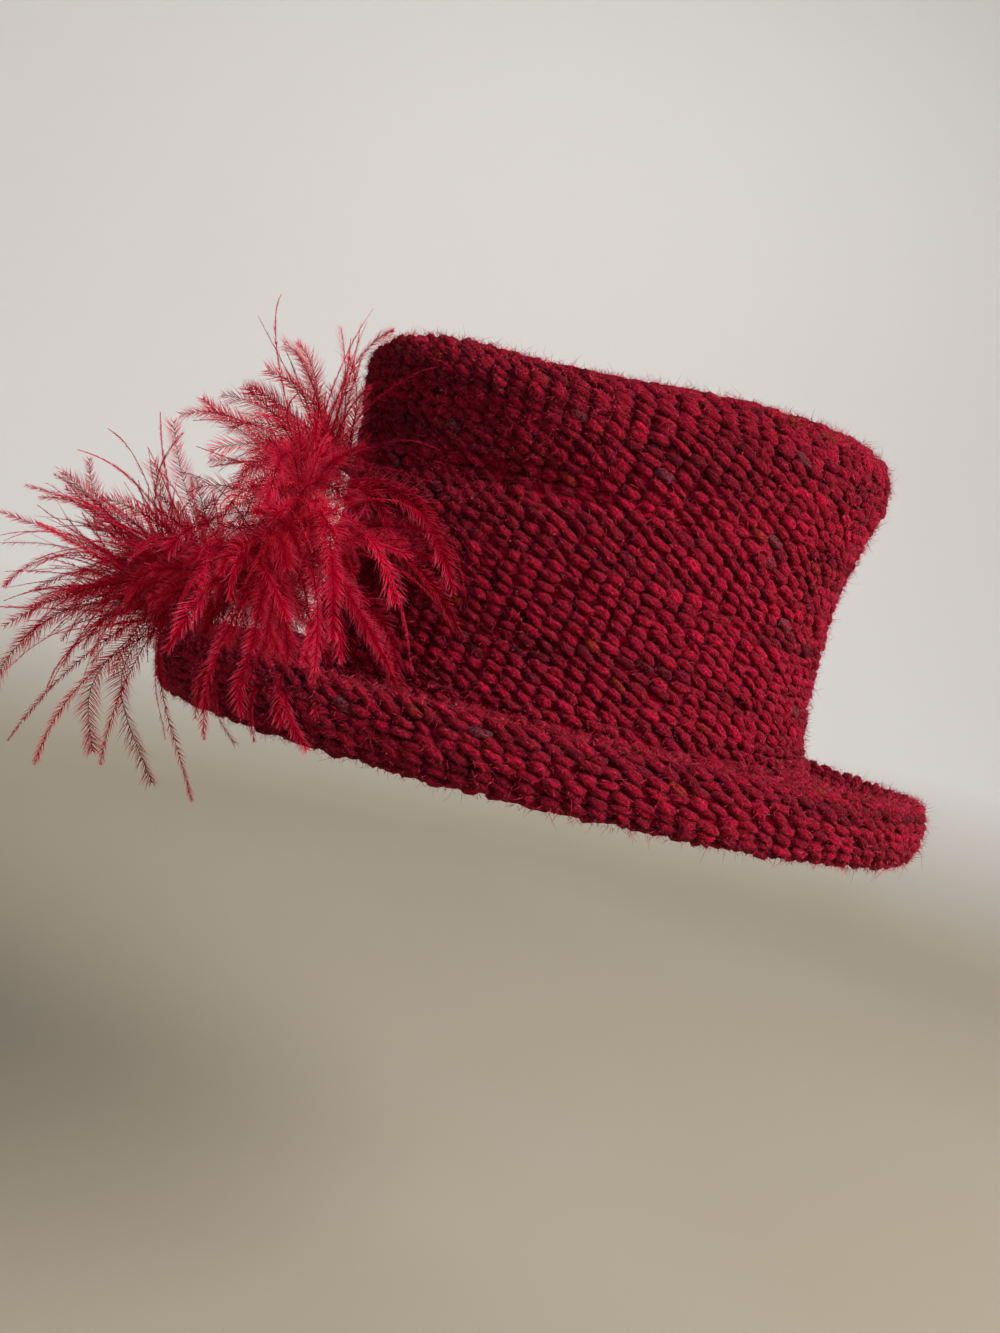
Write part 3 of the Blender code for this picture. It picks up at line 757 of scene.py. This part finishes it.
def makeFronds(plan):
    rng = np.random.default_rng(plan["seed"])
    stops = coreStops()
    fronds = []

    def grow(kind, ahead=np.zeros(3), length=0, droop=0.3, tip=None, path=None):
        root = smoothRows(stops, rng.uniform(*plan["places"])) + ahead * frondMake["rootStand"]
        root = root + rng.normal(0, frondMake["rootScatter"], 3)
        swirl = unit(rng.normal(0, 1, 3)) * rng.uniform(0.5, 2.0)
        if tip is not None:
            tip = np.array(tip) * mm
            ahead = unit(unit(tip - root) - frondMake["upwards"] * np.array(frondMake["gravity"]))
            length = np.linalg.norm(tip - root) * frondMake["slack"]
        if path is None:
            path = grownPath(root, ahead, length, 0.5 + 3.6 * droop, swirl, tip)
        fronds.append({
            "kind": kind, "path": path,
            "flat": unit(rng.normal(0, 1, 3) * [0.5, 1.0, 1.0]), "tone": rng.random(),
            "thick": rng.uniform(0.8, 1.2), "wide": rng.uniform(0.75, 1.2), "cup": rng.normal(0, 0.35)})

    for via, tip, letter in plan["hung"]:
        root = smoothRows(stops, plan["places"][1] - 0.6) + rng.normal(0, frondMake["rootScatter"], 3)
        grow(kindLetters[letter], path=hungPath(root, np.array(via) * mm, np.array(tip) * mm))
    for *tip, letter in plan["tips"]:
        grow(kindLetters[letter], tip=tip)
    for kind, count in plan["fill"].items():
        spread, share = fillKinds[kind]
        for k in range(count):
            turn, rise, length, droop = plan["locks"][k % len(plan["locks"])]
            lies = kind == "vane" and turn > plan["lyingFrom"]  # it lies on the knit, so its barbs are short
            turn, rise = radians(turn + rng.normal(0, spread)), radians(rise + rng.normal(0, spread * 0.8))
            ahead = np.array([sin(turn) * cos(rise), -cos(turn) * cos(rise), sin(rise)])
            if kind == "down":
                ahead = unit(0.5 * ahead + unit(rng.normal(0, 1, 3)))
            length = boa["frondLength"] * length * share * rng.uniform(0.6, 1.1)
            grow("strand" if lies else kind, ahead, length, droop)
    return fronds


# Loose fibres: a halo that stands off the knit, and a nap that clings to every stitch
halo = {
    "crown": 19000, "brim": 15000, "long": (2.0 * mm, 4.6 * mm), "wide": 0.15 * mm, "from": 0.3 * mm,
    "sizes": (0.7, 1.0, 1.6), "sizeShares": (0.5, 0.4, 0.1), "seeds": (31, 32),
}
nap = {
    "crown": 88000, "brim": 66000, "long": (1.0 * mm, 2.4 * mm), "wide": 0.22 * mm,
    "scatter": 0.3 * mm, "sunk": 0.2 * mm, "seeds": (33, 34),
}
fibreNarrows = 0.5


def fibresAt(name, here, way, bend, length, wide, lengths, finish, rng):
    form, faces = bladeForm(lengths, fibreNarrows)
    x, y = form[None, :, 0:1], form[None, :, 1:2]
    cross = unit(np.cross(way, rng.normal(0, 1, way.shape)))
    points = here[:, None] + length * (x * way[:, None] + x ** 2 * bend[:, None] * 0.6) \
        + y * wide * cross[:, None]
    piece = meshOf(name, points, copyFaces(faces, len(here), len(form)), finish)
    print(name, len(here), "fibres", len(piece.data.polygons), "triangles")
    return piece


def haloPiece(name, surface, last, side, count, finish, seed):
    rng = np.random.default_rng(seed)
    angle, place = rng.uniform(0, 360, count), rng.uniform(0, 1, count) * last
    here, along, up, out = surfaceFrame(surface, angle, place, side)
    spin = rng.uniform(0, 2 * np.pi, (count, 1))
    flat = along * np.cos(spin) + up * np.sin(spin)
    way = unit(out * rng.uniform(0.3, 1.0, (count, 1)) + flat * rng.uniform(0.3, 1.0, (count, 1)))
    bend = flat * rng.normal(0, 0.6, (count, 1)) + np.cross(flat, out) * rng.normal(0, 0.5, (count, 1))
    length = rng.uniform(*halo["long"], (count, 1, 1))
    length = length * rng.choice(halo["sizes"], (count, 1, 1), p=halo["sizeShares"])
    return fibresAt(name, here + out * halo["from"], way, bend, length, halo["wide"], 2, finish, rng)


def napPiece(name, spots, outs, count, finish, seed):
    rng = np.random.default_rng(seed)
    pick = rng.integers(0, len(spots), count)
    here, out = spots[pick], outs[pick]
    way = unit(out * rng.uniform(0.2, 0.9, (count, 1)) + unit(rng.normal(0, 1, (count, 3))))
    here = here + rng.normal(0, nap["scatter"], (count, 3)) - out * nap["sunk"]
    length = rng.uniform(*nap["long"], (count, 1, 1))
    return fibresAt(name, here, way, np.zeros((count, 3)), length, nap["wide"], 1, finish, rng)


# Camera: the photograph's place, seen from the wearer's left and turned a little on its own axis.
view = {"target": (0, -0.024, 0.006), "distance": 0.48, "azimuth": 90, "elevation": 3, "roll": 13.5,
        "lens": 31.06, "sensor": 36}


def addCamera():
    data = bpy.data.cameras.new("camera")
    data.sensor_fit, data.sensor_height, data.sensor_width = "VERTICAL", view["sensor"], view["sensor"]
    data.lens = view["lens"]
    data.clip_start, data.clip_end = 0.01, 50
    camera = bpy.data.objects.new("camera", data)
    bpy.context.scene.collection.objects.link(camera)
    azimuth, elevation, roll = (radians(view[name]) for name in ("azimuth", "elevation", "roll"))
    back = Vector((sin(azimuth) * cos(elevation), -cos(azimuth) * cos(elevation), sin(elevation)))
    right = Vector((0, 0, 1)).cross(back).normalized()
    above = back.cross(right)
    across = right * cos(roll) + above * sin(roll)
    upward = above * cos(roll) - right * sin(roll)
    turned = Matrix((across, upward, back)).transposed().to_4x4()
    camera.matrix_world = Matrix.Translation(Vector(view["target"]) + back * view["distance"]) @ turned
    bpy.context.scene.camera = camera


# Stage: a pale floor that sweeps up into the wall on every side, and soft lights.
studio = {
    "floorHeight": -0.30, "floorRadius": 1.1, "sweep": 0.9, "wallHeight": 3.0, "sweepSteps": 12, "columns": 96,
    "paint": "#D8D8D8", "floorPaint": "#A09888", "paintFrom": -0.05, "cloudiness": 0.12,
    "air": "#E8E6E4", "airStrength": 0.06,
}


def addStage():
    made = bmesh.new()
    profile = [made.verts.new((0, 0, 0)), made.verts.new((studio["floorRadius"], 0, 0))]
    made.edges.new(profile)
    for k in range(1, studio["sweepSteps"] + 1):
        turn = radians(90 * k / studio["sweepSteps"])
        profile.append(made.verts.new((
            studio["floorRadius"] + studio["sweep"] * sin(turn), 0, studio["sweep"] * (1 - cos(turn)))))
        made.edges.new(profile[-2:])
    profile.append(made.verts.new((studio["floorRadius"] + studio["sweep"], 0, studio["wallHeight"])))
    made.edges.new(profile[-2:])
    bmesh.ops.spin(made, geom=made.verts[:] + made.edges[:], cent=(0, 0, 0), axis=(0, 0, 1),
                   angle=radians(360), steps=studio["columns"], use_merge=True)
    bmesh.ops.remove_doubles(made, verts=made.verts, dist=0.0001)
    bmesh.ops.translate(made, verts=made.verts, vec=(0, 0, studio["floorHeight"]))
    bmesh.ops.recalc_face_normals(made, faces=made.faces[:])
    bmesh.ops.reverse_faces(made, faces=made.faces[:])
    mesh = bpy.data.meshes.new("studio_floor")
    made.to_mesh(mesh)
    made.free()
    mesh.shade_smooth()
    paint, tree, shader = newMaterial("matt paint, studio floor", {"Roughness": 0.9})
    spot = addNode(tree, "TexCoord")
    cloud = addNode(tree, "TexNoise", {"Scale": 3.0, "Detail": 2.0}, {"Vector": spot.outputs["Object"]})
    split = addNode(tree, "SeparateXYZ", {}, {"Vector": spot.outputs["Object"]})
    climb = addNode(tree, "MapRange", {"From Min": studio["floorHeight"], "From Max": studio["paintFrom"]}, {
        "Value": split.outputs["Z"]})
    uneven = addNode(tree, "Math", {"operation": "MULTIPLY_ADD", 1: studio["cloudiness"]}, {
        0: cloud.outputs["Fac"], 2: climb.outputs["Result"]})
    tone = addNode(tree, "ValToRGB", {"stops": [(0.06, studio["floorPaint"]), (0.9, studio["paint"])]}, {
        "Fac": uneven.outputs["Value"]})
    tree.links.new(tone.outputs["Color"], shader.inputs["Base Color"])
    mesh.materials.append(paint)
    floor = bpy.data.objects.new("studio_floor", mesh)
    bpy.context.scene.collection.objects.link(floor)


lights = {  # place, aim, size, watts, colour
    "key": ((0.85, 1.30, 0.95), (0, 0, 0.03), 1.2, 38.0, "#FFFAF6"),
    "fill": ((1.6, -0.3, 0.8), (0, 0, 0.03), 1.6, 0.6, "#F4F4FF"),
    "wall": ((-0.5, 0.1, 1.6), (-2.0, 0.0, 0.5), 1.2, 8.4, "#FFFCF8"),
}
lampSpread = 140


def addLights():
    for name, (place, aim, size, watts, colour) in lights.items():
        data = bpy.data.lights.new(name, "AREA")
        data.shape, data.size, data.energy, data.color = "DISK", size, watts, linear(colour)[:3]
        data.spread = radians(lampSpread)
        lamp = bpy.data.objects.new(name, data)
        bpy.context.scene.collection.objects.link(lamp)
        lamp.location = place
        lamp.rotation_euler = (Vector(aim) - Vector(place)).to_track_quat("-Z", "Y").to_euler()
    world = bpy.data.worlds.new("studio air")
    bpy.context.scene.world = world
    world.use_nodes = True
    air = world.node_tree.nodes["Background"]
    air.inputs["Color"].default_value = linear(studio["air"])
    air.inputs["Strength"].default_value = studio["airStrength"]


addCamera()
addStage()
addLights()
bpy.context.scene.view_settings.view_transform = "Standard"
print("camera, floor and lights")

yarnFinish, groundFinish, haloFinish = tweedWool(), groundWool(), haloWool()
plumeFinish, coreFinish = ostrichPlume(), boundCore()

crownTop = crownLast + knit["tipReach"]
crownKnit, crownSpots, crownOuts = knitPiece("crown_knit", crownSurface, crownTop, 1, knit["crown"], yarnFinish)
crownGround = groundShell("crown_ground", crownSurface, crownLast + 1, 1, knit["crown"], groundFinish)
brimKnit, brimSpots, brimOuts = knitPiece("brim_knit", brimSurface, brimLast, -1, knit["brim"], yarnFinish)
brimGround = groundShell("brim_ground", brimSurface, brimLast, -1, knit["brim"], groundFinish)
crownHalo = haloPiece("crown_halo", crownSurface, crownLast, 1, halo["crown"], haloFinish, halo["seeds"][0])
brimHalo = haloPiece("brim_halo", brimSurface, brimLast, -1, halo["brim"], haloFinish, halo["seeds"][1])
crownNap = napPiece("crown_nap", crownSpots, crownOuts, nap["crown"], haloFinish, nap["seeds"][0])
brimNap = napPiece("brim_nap", brimSpots, brimOuts, nap["brim"], haloFinish, nap["seeds"][1])
upperFronds = frondPiece("upper_fronds", makeFronds(tuftPlan["upper"]), plumeFinish, 51)
lowerFronds = frondPiece("lower_fronds", makeFronds(tuftPlan["lower"]), plumeFinish, 52)
frontFronds = frondPiece("front_fronds", makeFronds(tuftPlan["front"]), plumeFinish, 53)

for piece, node, finish in (
    (crownGround, "crown", "tweed_wool"), (brimGround, "brim", "tweed_wool"),
    (upperFronds, "upper_tuft", "ostrich"), (lowerFronds, "lower_tuft", "ostrich"),
    (frontFronds, "front_tuft", "ostrich"),
):
    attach(piece, body)
    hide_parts(node)
for piece in (crownKnit, brimKnit, crownHalo, brimHalo, crownNap, brimNap):
    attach(piece, body)
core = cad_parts["boa_core"]
for k in range(len(core.material_slots)):
    core.material_slots[k].material = coreFinish
